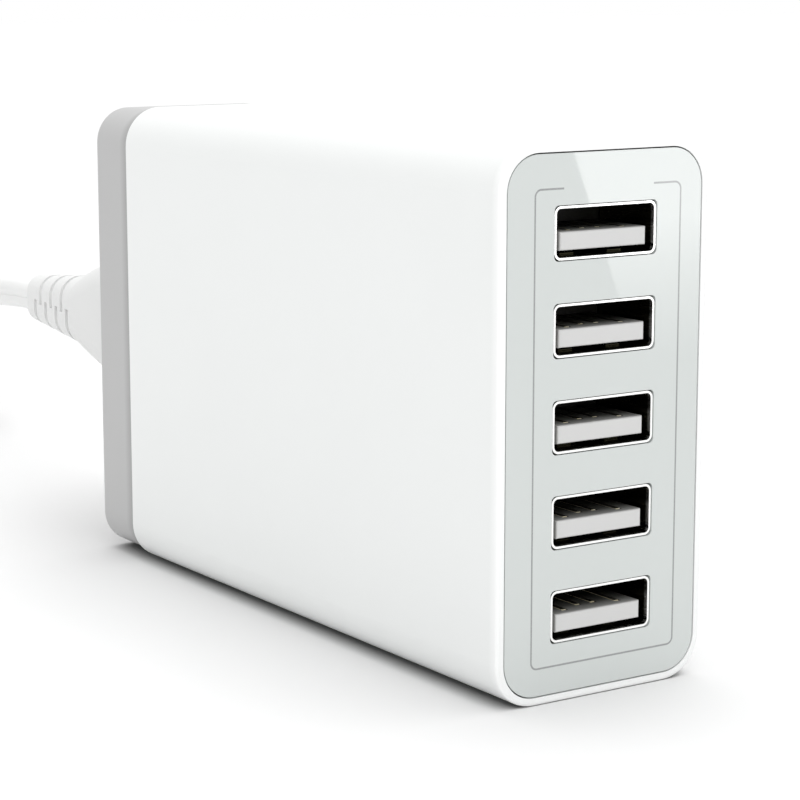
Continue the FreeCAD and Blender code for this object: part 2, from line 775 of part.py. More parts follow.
def make_transformer():
    """The transformer: a ferrite core with two windows, a bobbin on its middle leg and the taped winding."""
    middle = f"({BOARD_FACE} - flange_reach / 2)"
    window = "(core_length - 2 * core_bridge)"
    core_height = "(body_height - 2 * core_margin)"
    opening = f"({core_height} / 2 - core_side_leg - core_leg / 2)"
    core = new_body("transformer_core")
    side_face = f"{middle} - core_thickness / 2"
    face = new_sketch(core, "YZ_Plane", side_face, at_depth("transformer_depth"), MIDDLE)
    rectangle(face, "core_length", core_height)
    for side in (1, -1):
        rectangle(face, window, opening, up=f"{side} * (core_leg / 2 + {opening} / 2)")
    pad(core, face, "core_thickness", reverse=False)
    start = f"(transformer_depth - {window} / 2 + slide_gap)"
    length = f"({window} - 2 * slide_gap)"
    hole = "(core_thickness + 2 * slide_gap)"
    hole_up = "(core_leg + 2 * slide_gap)"
    tube = f"({hole} + 2 * tube_wall)"
    tube_up = f"({hole_up} + 2 * tube_wall)"
    flange_up = f"({hole_up} + 2 * ({opening} - 2 * slide_gap))"
    bobbin = new_body("transformer_bobbin")
    layers = [
        (start, "flange_thickness", "flange_reach", flange_up),
        (f"({start} + flange_thickness)", f"({length} - 2 * flange_thickness)", tube, tube_up),
        (f"({start} + {length} - flange_thickness)", "flange_thickness", "flange_reach", flange_up),
    ]
    for depth, thick, wide, high in layers:
        layer = slice_at(bobbin, depth, middle, MIDDLE)
        rectangle(layer, wide, high)
        rectangle(layer, hole, hole_up)
        pad(bobbin, layer, thick)
    winding = new_body("transformer_winding")
    ring = slice_at(winding, f"{start} + flange_thickness + slide_gap / 2", middle, MIDDLE)
    shrink = "2 * winding_gap"
    rounded_rectangle(ring, f"(flange_reach - {shrink})", f"({flange_up} - {shrink})", "(3 * winding_gap)")
    rectangle(ring, f"({tube} + slide_gap)", f"({tube_up} + slide_gap)")
    pad(winding, ring, f"{length} - 2 * flange_thickness - slide_gap")


def ring(label, inner, outer, tall, span, start):
    """A ring, or part of one, that stands off the power board and is centred on the choke."""
    shapes = []
    for name, radius in (("outside", outer), ("inside", inner)):
        corner = (
            f"{BOARD_FACE} - winding_tall / 2 - ({tall}) / 2",
            at_depth("choke_depth"),
            "choke_level",
        )
        cylinder = rod(f"{label}_{name}", radius, tall, corner, "X")
        spin = FreeCAD.Rotation(Vector(1, 0, 0), start)
        cylinder.Placement.Rotation = spin.multiply(TURNS["X"])
        shapes.append(cylinder)
    bind(shapes[0], "Angle", span)
    cut = doc.addObject("Part::Cut", label)
    cut.Base, cut.Tool = shapes
    return cut


def make_choke():
    """The mains choke: a ring core with a winding round each half."""
    keep(ring("choke_core", "choke_inner", "choke_outer", "choke_tall", "360", 0), "choke_core")
    wire = "(winding_tall - choke_tall) / 2"
    halves = []
    for number, start in enumerate((0, 180), start=1):
        half = doc.addObject("Part::Cut", f"choke_half_{number}")
        half.Base = ring(
            f"choke_wire_{number}",
            f"choke_inner - {wire}",
            f"choke_outer + {wire}",
            "winding_tall",
            "choke_span",
            start,
        )
        half.Tool = ring(
            f"choke_bore_{number}",
            "choke_inner - slide_gap / 2",
            "choke_outer + slide_gap / 2",
            "choke_tall + slide_gap",
            "360",
            0,
        )
        halves.append(half)
    joined("choke_winding", halves)


def make_inlet():
    """The two-pin mains inlet, pushed into the cap from inside, and its pins, which reach the power board."""
    body = new_body("inlet_housing")
    front = f"({FULL_DEPTH} - inlet_length)"
    outer = slice_at(body, front, up="inlet_level")
    rounded_rectangle(outer, "inlet_width", "inlet_height", "inlet_round")
    pad(body, outer, "inlet_length")
    flange = slice_at(body, f"{FULL_DEPTH} - cap_wall - inlet_flange", up="inlet_level")
    wider = "2 * inlet_flange"
    rounded_rectangle(flange, f"(inlet_width + {wider})", f"(inlet_height + {wider})", "inlet_round")
    pad(body, flange, "inlet_flange")
    cavity = slice_at(body, f"{FULL_DEPTH} - cavity_length", up="inlet_level")
    two_lobes(cavity, "(nose_lobe + nose_gap)", "nose_lobe_place", "(nose_waist + nose_gap)")
    pocket(body, cavity, "cavity_length")
    bores = slice_at(body, front, up="inlet_level")
    for side in (1, -1):
        round_hole(bores, "pin_radius", up=f"{side} * pin_spacing / 2")
    pocket(body, bores, "inlet_length - cavity_length")
    shapes = []
    start = f"({front} - pin_tail)"
    for number, side in enumerate((1, -1), start=1):
        level = f"(inlet_level + {side} * pin_spacing / 2)"
        length = "inlet_length + pin_tail - pin_short"
        shapes.append(rod(f"pin_{number}", "pin_radius", length, ("0", at_depth(start), level), "Y"))
        tail = block(
            f"pin_tail_{number}",
            (BOARD_FACE, "tail_width", "tail_width"),
            ("0", at_depth(start), f"{level} - tail_width / 2"),
        )
        shapes.append(tail)
    joined("inlet_pins", shapes)


def relief_slots(body, upper):
    """A side view of the slots across the upper or the lower half of the strain relief."""
    slots = new_sketch(body, "YZ_Plane", "grip_width")
    for number in range(int(size("slot_count")) - upper):
        middle = at_depth(f"{FULL_DEPTH} + slot_first + slot_pitch * ({number} + 0.5 * {upper})")
        side = 1 if upper else -1
        up = f"(inlet_level + {side} * relief_height / 2 - {upper} * slot_overlap)"
        rectangle(slots, "slot_width", "relief_height", f"({middle})", up)
    return slots


def make_connector():
    """The lead's connector, moulded on the cord: a nose in the inlet, a grip, and a slotted strain relief."""
    body = new_body("lead_connector")
    sections = [
        ("grip_length", "0", "grip_width", "grip_height", "grip_round"),
        ("neck_end", "0", "neck_width", "neck_height", "neck_round"),
        ("relief_start", "relief_sag", "relief_width", "relief_height", "relief_round"),
        ("relief_end", "relief_sag", "relief_tip_width", "relief_tip_height", "relief_tip_round"),
    ]

    def section(distance, sag, width, height, radius):
        sketch = slice_at(body, f"{FULL_DEPTH} + {distance}", up=f"inlet_level - {sag}")
        rounded_rectangle(sketch, width, height, radius)
        return sketch

    grip = pad(body, section("grip_stand_off", *sections[0][1:]), "grip_length - grip_stand_off")
    round_edges(body, grip, "grip_edge", size(HALF_DEPTH) + size("grip_stand_off"))
    nose = slice_at(body, f"{FULL_DEPTH} - cavity_length + nose_gap", up="inlet_level")
    two_lobes(nose, "nose_lobe", "nose_lobe_place", "nose_waist")
    pad(body, nose, "cavity_length - nose_gap + grip_stand_off")
    loft(body, [section(*values) for values in sections[:3]])
    loft(body, [section(*values) for values in sections[2:]])
    for upper in (0, 1):
        pocket(body, relief_slots(body, upper), "2 * grip_width")
    thin = "2 * relief_skin"
    core = [
        section(distance, sag, f"({width} - {thin})", f"({height} - {thin})", f"({radius} - relief_skin)")
        for distance, sag, width, height, radius in sections[2:]
    ]
    loft(body, core)
    bores = slice_at(body, f"{FULL_DEPTH} - cavity_length + nose_gap", up="inlet_level")
    tube = "(pin_radius + slide_gap / 2 + sleeve_tube_wall)"
    for side in (1, -1):
        round_hole(bores, tube, up=f"{side} * pin_spacing / 2")
    pocket(body, bores, "sleeve_tube_length + slide_gap")
    sleeves = new_body("lead_contacts")
    rings = slice_at(sleeves, f"{FULL_DEPTH} - cavity_length + nose_gap", up="inlet_level")
    for side in (1, -1):
        round_hole(rings, tube, up=f"{side} * pin_spacing / 2")
        round_hole(rings, "(pin_radius + slide_gap / 2)", up=f"{side} * pin_spacing / 2")
    pad(sleeves, rings, "sleeve_tube_length")


def cord_tube(label, route):
    """A stretch of the flat cord: straight runs joined by tangent arcs, with its wide side upright."""
    points = [Vector(*point) for point in route]
    edges = []
    here = points[0]
    for before, corner, after in zip(points, points[1:], points[2:]):
        inward, outward = (corner - before), (after - corner)
        shorter = min(inward.Length, outward.Length)
        inward.normalize()
        outward.normalize()
        half_turn = inward.getAngle(outward) / 2
        reach = 0.45 * shorter
        start, end = corner - inward * reach, corner + outward * reach
        radius = reach / math.tan(half_turn)
        towards = (outward - inward).normalize()
        middle = corner + towards * (radius / math.cos(half_turn) - radius)
        edges += [Part.LineSegment(here, start).toShape(), Part.Arc(start, middle, end).toShape()]
        here = end
        print(f"{label}: bend of {radius:.1f} mm")
    edges.append(Part.LineSegment(here, points[-1]).toShape())
    path = Part.Wire(edges)
    half_width, half_thick = size("cord_width") / 2, size("cord_thickness") / 2
    flat = half_width - half_thick
    along = (points[1] - points[0]).normalize()
    side = along.cross(Vector(0, 0, 1)).normalize()
    up = side.cross(along)

    def at(across, rise):
        return points[0] + side * across + up * rise

    outline = Part.Wire(
        [
            Part.LineSegment(at(half_thick, -flat), at(half_thick, flat)).toShape(),
            Part.Arc(at(half_thick, flat), at(0, half_width), at(-half_thick, flat)).toShape(),
            Part.LineSegment(at(-half_thick, flat), at(-half_thick, -flat)).toShape(),
            Part.Arc(at(-half_thick, -flat), at(0, -half_width), at(half_thick, -flat)).toShape(),
        ]
    )
    tube = doc.addObject("Part::Feature", label)
    tube.Shape = path.makePipeShell([outline], True, False)
    section = Part.Face(outline).Area * path.Length
    print(f"{label}: volume {tube.Shape.Volume:.1f}, section times length {section:.1f}")
    return keep(tube, label)


def make_lead():
    """The cord: the stretch behind the connector, the long tied coil and the short stretch to the plug."""
    cord_tube("cord_run", LEAD_ROUTE)
    cord_tube("cord_tail", TAIL_ROUTE)
    across, back = COIL_MIDDLE
    floor = "(tie_sheet + tie_gap)"
    coil = new_body("cord_coil")
    coil.Placement.Base = Vector(across, back, 0)
    track = new_sketch(coil, "XY_Plane", floor)
    for reach in ("(coil_inside + coil_bundle)", "coil_inside"):
        rounded_rectangle(track, f"(2 * {reach})", f"(coil_run + 2 * {reach})", f"({reach} - slide_gap / 2)")
    pad(coil, track, "coil_height", reverse=False)
    for side, end, level in (LEAD_ROUTE[-1], TAIL_ROUTE[0]):
        room = new_sketch(coil, "XZ_Plane", f"{back - end}", f"{side - across}", f"{level}")
        rectangle(room, "(cord_thickness + 2 * coil_clear)", "(cord_width + 2 * coil_clear)")
        pocket(coil, room, "coil_notch", reverse=True)
    tie = new_body("cord_tie")
    tie.Placement.Base = Vector(across, back, 0)
    middle = "coil_inside + coil_bundle / 2"
    band = new_sketch(tie, "XZ_Plane", "tie_width / 2", middle, f"{floor} + coil_height / 2")
    for sheets in ("tie_gap", "(tie_gap + tie_sheet)"):
        rounded_rectangle(
            band,
            f"(coil_bundle + 2 * {sheets})",
            f"(coil_height + 2 * {sheets})",
            f"(tie_round + {sheets})",
        )
    pad(tie, band, "tie_width")


def make_plug():
    """The mains plug at the end of the lead: a moulded body with a slotted tail, and two flat blades."""
    across, back, level = TAIL_ROUTE[-1]
    body = new_body("plug_body")
    body.Placement.Base = Vector(across, back, level)
    neck = "(plug_tail_length + plug_neck_length)"
    sections = [
        ("0", "plug_tail_width", "plug_tail_height", "(plug_tail_width / 2 - slide_gap)"),
        ("plug_tail_length", "plug_neck_width", "plug_neck_height", "(plug_neck_height / 2 - slide_gap)"),
        (neck, "plug_width", "plug_height", "plug_round"),
    ]

    def section(distance, width, height, radius):
        sketch = new_sketch(body, "XZ_Plane", distance)
        rounded_rectangle(sketch, width, height, radius)
        return sketch

    block_feature = pad(body, section(*sections[2]), "plug_length", reverse=False)
    round_edges(body, block_feature, "plug_edge", -size(f"{neck} + plug_length"))
    loft(body, [section(*values) for values in sections[1:]])
    loft(body, [section(*values) for values in sections[:2]])
    slots = new_sketch(body, "YZ_Plane", "plug_width / 2")
    for number in range(int(size("slot_count"))):
        middle = f"(-plug_slot_first - plug_slot_pitch * {number})"
        side = 1 if number % 2 else -1
        rectangle(slots, "slot_width", "plug_neck_height", middle, f"{side} * plug_neck_height / 2")
    pocket(body, slots, "plug_width")
    thin = "2 * relief_skin"
    core = [
        section(distance, f"({width} - {thin})", f"({height} - {thin})", f"({radius} - relief_skin)")
        for distance, width, height, radius in sections[:2]
    ]
    loft(body, core)
    face = f"({neck} + plug_length)"
    sockets = new_sketch(body, "XZ_Plane", face)
    blades = new_body("plug_blades")
    blades.Placement.Base = Vector(across, back, level)
    for side in (1, -1):
        middle = f"{side} * blade_spacing / 2"
        rectangle(sockets, "blade_sheet", "blade_width", middle)
        view = new_sketch(blades, "YZ_Plane", f"{middle} - blade_sheet / 2")
        half = "blade_width / 2"
        root, tip = f"(blade_root - {face})", f"(-{face} - blade_length)"
        polygon(
            view,
            [
                (root, f"-{half}"),
                (root, half),
                (f"{tip} + blade_tip", half),
                (tip, f"{half} - blade_tip"),
                (tip, f"blade_tip - {half}"),
                (f"{tip} + blade_tip", f"-{half}"),
            ],
        )
        round_hole(view, "blade_hole", f"(-{face} - blade_hole_place)")
        pad(blades, view, "blade_sheet", reverse=False)
    pocket(body, sockets, "blade_root")


make_sleeve()
make_cap()
make_front()
for port in range(int(size("port_count"))):
    make_shell(port)
    make_insulator(port)
    make_contacts(port)
make_boards()
make_components()
make_transformer()
make_choke()
make_inlet()
make_connector()
make_lead()
make_plug()
doc.recompute()

for item in doc.Objects:
    if {"Invalid", "Error"} & set(item.State):
        raise RuntimeError(f"{item.Label} did not build: {item.State}")
for node in nodes:
    if node.Shape.isNull() or not node.Shape.isValid():
        raise RuntimeError(f"{node.Label} has no valid shape")
    node.Shape.exportStep(f"parts/{node.Label}.step")
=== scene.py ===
import math

import bpy
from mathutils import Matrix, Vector


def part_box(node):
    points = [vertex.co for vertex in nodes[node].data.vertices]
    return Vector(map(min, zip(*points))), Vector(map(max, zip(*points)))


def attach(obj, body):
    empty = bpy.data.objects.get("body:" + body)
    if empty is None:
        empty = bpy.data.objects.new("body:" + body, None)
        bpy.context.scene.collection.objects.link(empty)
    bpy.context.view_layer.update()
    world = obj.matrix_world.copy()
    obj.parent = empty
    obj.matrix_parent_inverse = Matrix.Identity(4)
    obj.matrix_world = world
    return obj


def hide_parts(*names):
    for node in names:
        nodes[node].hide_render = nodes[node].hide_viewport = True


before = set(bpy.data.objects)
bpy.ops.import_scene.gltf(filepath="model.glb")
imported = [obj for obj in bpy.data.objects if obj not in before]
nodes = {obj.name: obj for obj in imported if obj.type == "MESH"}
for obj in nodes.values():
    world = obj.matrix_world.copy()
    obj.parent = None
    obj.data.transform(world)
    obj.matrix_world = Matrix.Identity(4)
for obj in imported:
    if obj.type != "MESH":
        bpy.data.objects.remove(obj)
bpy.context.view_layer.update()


# Sleeve: the white outer tube, injection moulded in polycarbonate with a fine satin skin. It
# stands on its narrow side and carries the panel in front and the cap behind. Its front rim keeps
# the full white and the sides behind it are painted a little darker, so the rim is a painted highlight.
def socket(finish, name):
    """An input of a finish's shader."""
    return finish.node_tree.nodes["Principled BSDF"].inputs[name]


def new_finish(name, metallic=0.0):
    """A finish with nothing on it yet."""
    finish = bpy.data.materials.new(name)
    finish.use_nodes = True
    socket(finish, "Metallic").default_value = metallic
    return finish


def new_node(finish, kind, values=None):
    """A node of a finish, with fixed values on its inputs."""
    node = finish.node_tree.nodes.new(kind)
    for name, value in (values or {}).items():
        node.inputs[name].default_value = value
    return node


def join(finish, source, target):
    """Feeds one node's output to an input."""
    finish.node_tree.links.new(source, target)


def grain(finish, scale, detail=3.0, stretch=(1.0, 1.0, 1.0)):
    """A noise on the piece's own coordinates, so many grains to the metre."""
    place = new_node(finish, "ShaderNodeTexCoord")
    turn = new_node(finish, "ShaderNodeMapping", {"Scale": stretch})
    noise = new_node(finish, "ShaderNodeTexNoise", {"Scale": scale, "Detail": detail})
    join(finish, place.outputs["Object"], turn.inputs["Vector"])
    join(finish, turn.outputs["Vector"], noise.inputs["Vector"])
    return noise.outputs["Fac"]


def shades(finish, amount, stops):
    """Turns a number into colours, each stop a position and a colour."""
    ramp = new_node(finish, "ShaderNodeValToRGB")
    points = ramp.color_ramp.elements
    while len(points) < len(stops):
        points.new(1.0)
    for point, (position, colour) in zip(points, stops):
        point.position = position
        point.color = (*colour, 1.0)
    join(finish, amount, ramp.inputs["Fac"])
    return ramp.outputs["Color"]


def tint(finish, amount, stops):
    """Colours a finish by a number."""
    join(finish, shades(finish, amount, stops), socket(finish, "Base Color"))


def polish(finish, amount, low, high):
    """Lets the roughness follow a grain between two values."""
    limits = {"From Min": 0.3, "From Max": 0.7, "To Min": low, "To Max": high}
    span = new_node(finish, "ShaderNodeMapRange", limits)
    join(finish, amount, span.inputs["Value"])
    join(finish, span.outputs["Result"], socket(finish, "Roughness"))


def relief(finish, amount, height, strength):
    """Lets a grain stand up from the surface by so many metres."""
    bump = new_node(finish, "ShaderNodeBump", {"Distance": height, "Strength": strength})
    join(finish, amount, bump.inputs["Height"])
    join(finish, bump.outputs["Normal"], socket(finish, "Normal"))


def moulded(name, colour, drift, roughness, skin, height, metallic=0.0):
    """A plain finish whose tone and gloss drift a little and whose skin has a fine grain."""
    finish = new_finish(name, metallic)
    low, high = ([max(0.0, part + sign * drift) for part in colour] for sign in (-1, 1))
    patches = grain(finish, 45)
    tint(finish, patches, [(0.3, low), (0.7, high)])
    polish(finish, patches, roughness - 0.04, roughness + 0.04)
    relief(finish, grain(finish, skin, 2.0), height, 0.25)
    return finish


def along_depth(finish, start, end, first=0.0, last=1.0):
    """A number that runs from one value to another between two places along the depth."""
    limits = {"From Min": start, "From Max": end, "To Min": first, "To Max": last}
    place = new_node(finish, "ShaderNodeTexCoord")
    split = new_node(finish, "ShaderNodeSeparateXYZ")
    span = new_node(finish, "ShaderNodeMapRange", limits)
    join(finish, place.outputs["Object"], split.inputs["Vector"])
    join(finish, split.outputs["Y"], span.inputs["Value"])
    return span.outputs["Result"]


def dim(finish, tone):
    """Multiplies the colour of a finish by a tone."""
    colour = socket(finish, "Base Color")
    product = new_node(finish, "ShaderNodeMix")
    product.data_type = "RGBA"
    product.blend_type = "MULTIPLY"
    product.inputs["Factor"].default_value = 1.0
    join(finish, colour.links[0].from_socket, product.inputs["A"])
    join(finish, tone, product.inputs["B"])
    join(finish, product.outputs["Result"], colour)


def dress(finish, *names):
    """Gives nodes of the frame their finish."""
    for name in names:
        mesh = nodes[name].data
        mesh.materials.clear()
        mesh.materials.append(finish)


RIM, SEAM = (corner[1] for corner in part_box("housing_sleeve"))
RIM_LIGHT_DEPTH, RIM_LIGHT_FADE = 0.0004, 0.001
SIDE_PAINTED_SHADE, FULL_TONE = (0.914, 0.92, 0.918), (1.0, 1.0, 1.0)

white_shell = moulded(
    "white_shell", (0.93, 0.94, 0.935), drift=0.006, roughness=0.34, skin=5200, height=0.00002
)
# Painted highlight: the rim keeps the full white, and from just behind it the sleeve is painted darker.
rim_light_place = along_depth(white_shell, RIM + RIM_LIGHT_DEPTH, RIM + RIM_LIGHT_DEPTH + RIM_LIGHT_FADE)
dim(white_shell, shades(white_shell, rim_light_place, [(0.0, FULL_TONE), (1.0, SIDE_PAINTED_SHADE)]))
dress(white_shell, "housing_sleeve")

# Cap: the satin grey cup that closes the back, moulded a little smaller than the sleeve so that
# a shadow line shows at the seam; the grey next to the seam is also painted darker, a painted shade.
# It snaps into the sleeve and holds the mains inlet.
SEAM_PAINTED_SHADE, SEAM_SHADE_FADE = (0.6, 0.6, 0.6), 0.0026

grey_cap = moulded(
    "grey_cap", (0.485, 0.485, 0.485), drift=0.008, roughness=0.42, skin=4200, height=0.00003
)
# Painted shade: the cap's grey is painted darker next to the seam with the sleeve.
seam_shade_place = along_depth(grey_cap, SEAM, SEAM + SEAM_SHADE_FADE)
dim(grey_cap, shades(grey_cap, seam_shade_place, [(0.0, SEAM_PAINTED_SHADE), (1.0, FULL_TONE)]))
dress(grey_cap, "rear_cap")


# Panel: a polished plate behind the rim, pale grey under a clear gloss, with one window for each
# socket. A thin line is printed round the sockets under the gloss and stays open at the top.
def lacquer(finish):
    """A clear gloss over a finish."""
    socket(finish, "Coat Weight").default_value = 0.5
    socket(finish, "Coat Roughness").default_value = 0.01


glossy_panel = new_finish("glossy_panel")
tint(glossy_panel, grain(glossy_panel, 30), [(0.3, (0.62, 0.652, 0.64)), (0.7, (0.635, 0.668, 0.655))])
polish(glossy_panel, grain(glossy_panel, 260, 4.0, (1.0, 1.0, 0.25)), 0.01, 0.025)
lacquer(glossy_panel)
dress(glossy_panel, "front_panel")

ink = new_finish("panel_ink")
ink_dots = grain(ink, 9000)
tint(ink, ink_dots, [(0.35, (0.27, 0.28, 0.28)), (0.65, (0.36, 0.37, 0.37))])
polish(ink, ink_dots, 0.02, 0.06)
lacquer(ink)
dress(ink, "panel_line")

# Socket frame: the black moulded plate behind the panel. It has a skirt round each socket's shell,
# which keeps the sockets in line with the windows.
dark_frame = moulded("dark_frame", (0.02, 0.02, 0.02), drift=0.004, roughness=0.5, skin=4000, height=0.00003)
dress(dark_frame, "port_frame")

# Sockets: five standard USB sockets. Each has a shell folded from nickel-plated sheet, polished
# where its edge shows, a moulded tongue and four gold-plated spring contacts that lie in grooves.
# Little light reaches the inside, so shell and tongue are painted darker with depth, and tongue and
# contacts are painted darker in the grooves: all painted shade.
SOCKETS = range(1, 6)
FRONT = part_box("usb_shell_1")[0][1]
SHELL_SHADE_DEPTH = 0.0006
TONGUE_SHADE_START, TONGUE_SHADE_FADE = 0.0004, 0.005
GROOVE_REACH = 0.0007


def paint_groove_shade(finish, reach, dark, closed, opened):
    """Paints shade into a finish, dimming it where the surface closes in on itself within a reach."""
    room = new_node(finish, "ShaderNodeAmbientOcclusion", {"Distance": reach})
    stops = [(closed, (dark, dark, dark)), (opened, FULL_TONE)]
    dim(finish, shades(finish, room.outputs["AO"], stops))


plated = new_finish("plated_shell", metallic=1.0)
# Painted shade: the plating is bright at the front edge and painted nearly black further in.
tint(
    plated,
    along_depth(plated, FRONT, FRONT + SHELL_SHADE_DEPTH),
    [(0.0, (0.95, 0.95, 0.94)), (0.5, (0.9, 0.9, 0.89)), (1.0, (0.07, 0.065, 0.04))],
)
polish(plated, grain(plated, 2500, 2.0, (1.0, 0.08, 1.0)), 0.16, 0.3)

tongue = new_finish("tongue_plastic")
# Painted shade: the tongue's pale front is painted darker with depth, nearly black at the back.
tint(
    tongue,
    along_depth(tongue, FRONT + TONGUE_SHADE_START, FRONT + TONGUE_SHADE_START + TONGUE_SHADE_FADE),
    [
        (0.0, (0.64, 0.64, 0.635)),
        (0.05, (0.56, 0.56, 0.55)),
        (0.09, (0.46, 0.46, 0.45)),
        (0.5, (0.13, 0.13, 0.12)),
        (1.0, (0.014, 0.014, 0.012)),
    ],
)
# Painted shade: the tongue is painted darker inside the contact grooves.
paint_groove_shade(tongue, GROOVE_REACH, dark=0.02, closed=0.55, opened=0.9)
tongue_skin = grain(tongue, 5000)
polish(tongue, tongue_skin, 0.38, 0.5)
relief(tongue, tongue_skin, 0.00002, 0.3)

gold = new_finish("gold_contact", metallic=0.15)
gold_wear = grain(gold, 1800)
tint(gold, gold_wear, [(0.35, (1.0, 0.9, 0.6)), (0.65, (1.0, 0.97, 0.78))])
# Painted shade: the contacts are painted dark where they lie deep in the grooves, so only their tips stay
# bright.
paint_groove_shade(gold, GROOVE_REACH, dark=0.02, closed=0.62, opened=0.76)
polish(gold, gold_wear, 0.18, 0.3)

for number in SOCKETS:
    dress(plated, f"usb_shell_{number}")
    dress(tongue, f"usb_insulator_{number}")
    dress(gold, f"usb_contacts_{number}")

# Boards: green glass-epoxy laminate, one across the sockets and one upright along the side wall,
# with a clear polyester liner behind it and a row of pins between the two.
laminate = moulded("board", (0.03, 0.13, 0.06), drift=0.01, roughness=0.35, skin=3000, height=0.00003)
dress(laminate, "port_board", "power_board")
film = moulded("liner", (0.78, 0.78, 0.66), drift=0.02, roughness=0.25, skin=2500, height=0.00002)
dress(film, "insulating_liner")
black_moulding = moulded(
    "black_component", (0.025, 0.025, 0.026), drift=0.006, roughness=0.5, skin=3600, height=0.00003
)
dress(black_moulding, "board_link")

# Components: chips and a rectifier in black epoxy, a boxed film capacitor, sleeved electrolytic
# cans, dipped discs and a folded aluminium heat sink, all soldered to the power board.
dress(
    black_moulding,
    "bridge_rectifier",
    "power_transistor",
    "control_chip",
    "optocoupler",
    "output_rectifier",
)
boxed = moulded("film_component", (0.62, 0.42, 0.06), drift=0.02, roughness=0.4, skin=3000, height=0.00003)
dress(boxed, "film_capacitor")
sleeved = moulded("capacitor_can", (0.05, 0.06, 0.11), drift=0.01, roughness=0.3, skin=2800, height=0.00002)
dress(
    sleeved,
    "bulk_capacitor_1",
    "bulk_capacitor_2",
    "output_capacitor_1",
    "output_capacitor_2",
    "output_capacitor_3",
)
dipped = moulded("disc_component", (0.05, 0.16, 0.38), drift=0.02, roughness=0.3, skin=1800, height=0.00006)
dress(dipped, "thermistor", "suppression_capacitor")
rolled = moulded(
    "heat_sink", (0.72, 0.73, 0.74), drift=0.02, roughness=0.32, skin=2200, height=0.00002, metallic=1.0
)
dress(rolled, "heat_sink")

# Transformer and choke: dark sintered ferrite cores with copper windings under amber tape. The
# transformer's windings sit on a black moulded bobbin.
ferrite = moulded("ferrite", (0.05, 0.05, 0.052), drift=0.01, roughness=0.6, skin=2600, height=0.00008)
dress(ferrite, "transformer_core", "choke_core")
wound = moulded("winding", (0.55, 0.3, 0.1), drift=0.04, roughness=0.35, skin=1500, height=0.0001)
dress(wound, "transformer_winding", "choke_winding")
dress(black_moulding, "transformer_bobbin")

# Mains inlet: a black two-pole socket pushed into the cap from inside, moulded in nylon round two
# nickel-plated pins.
inlet_black = moulded(
    "inlet_plastic", (0.03, 0.03, 0.03), drift=0.005, roughness=0.45, skin=4000, height=0.00003
)
dress(inlet_black, "inlet_housing")
pin_metal = moulded(
    "plated_pin", (0.74, 0.72, 0.66), drift=0.03, roughness=0.25, skin=1600, height=0.00002, metallic=1.0
)
dress(pin_metal, "inlet_pins")

# Connector: soft white vinyl moulded on the end of the lead round two plated contact sleeves. Its
# strain relief is slotted so that it bends with the cord. It is pushed into the inlet.
vinyl = moulded("lead_plastic", (0.785, 0.79, 0.785), drift=0.012, roughness=0.46, skin=3800, height=0.00004)
dress(vinyl, "lead_connector")
dress(pin_metal, "lead_contacts")

# Cord: two cores side by side in one white vinyl jacket with a groove down each flat side. Its
# spare length lies behind the charger, wound into a long coil of three layers round the plug.
CORD_WIDTH, CORD_THICKNESS, CORD_WEB = 0.0048, 0.0026, 0.0016
LEAD_ROUTE = [(0, 0.0888, 0.0272), (0, 0.116, 0.0272), (0.0122, 0.138, 0.0131), (0.0122, 0.158, 0.0131)]
TAIL_ROUTE = [
    (-0.0207, 0.243, 0.0033),
    (-0.0207, 0.2275, 0.0033),
    (-0.0073, 0.2055, 0.0065),
    (-0.0073, 0.19, 0.0065),
]
COIL_MIDDLE, COIL_RUN = Vector((-0.0063, 0.195, 0)), 0.096
COIL_OUTER, COIL_INNER = 0.0185, 0.0144
COIL_LAYERS, LAYER_HEIGHT = 3, 0.0049
FOLD_POINTS, LAYER_POINTS = 6, 21
CORD_LEAN = math.radians(-25)
CORE_STEPS = 12
CORD_GROOVE_SHADE_REACH = 0.0006


def coil_points():
    """Control points of the coil: down its right run, round the far fold, back and round again."""
    half_turn = FOLD_POINTS + 1
    spacing = math.pi / FOLD_POINTS
    points = []
    for step in range(COIL_LAYERS * LAYER_POINTS):
        from_inside = abs(step / LAYER_POINTS % 2 - 1)
        radius = COIL_INNER + (COIL_OUTER - COIL_INNER) * from_inside
        drops = sum(
            min(1.0, max(0.0, 0.5 + (step - change * LAYER_POINTS) / half_turn))
            for change in range(1, COIL_LAYERS)
        )
        side = 1 if step // half_turn % 2 == 0 else -1
        place = Vector((side * radius, 0, LEAD_ROUTE[-1][2] - LAYER_HEIGHT * drops))
        if step % half_turn:
            angle = spacing * (step % half_turn - 0.5)
            swollen = radius / math.cos(spacing / 2)
            place.x = side * swollen * math.cos(angle)
            place.y = side * (COIL_RUN / 2 + swollen * math.sin(angle))
        points.append(COIL_MIDDLE + place)
    return points


def new_curve(name, points, kind):
    """A curve object of one spline through points, and the spline."""
    curve = bpy.data.curves.new(name, "CURVE")
    curve.dimensions = "3D"
    spline = curve.splines.new(kind)
    spline.points.add(len(points) - 1)
    for control, point in zip(spline.points, points):
        control.co = (*point, 1.0)
    piece = bpy.data.objects.new(name, curve)
    bpy.context.collection.objects.link(piece)
    return piece, spline


def cord_section():
    """The outline of the jacket: two round cores with a web between them."""
    core = CORD_THICKNESS / 2
    reach = CORD_WIDTH / 2 - core
    groove = math.acos(CORD_WEB / 2 / core)
    outline = []
    for side in (1, -1):
        for step in range(CORE_STEPS + 1):
            angle = -groove + (math.pi + 2 * groove) * step / CORE_STEPS
            outline.append((side * core * math.cos(angle), side * (reach + core * math.sin(angle)), 0))
    return outline


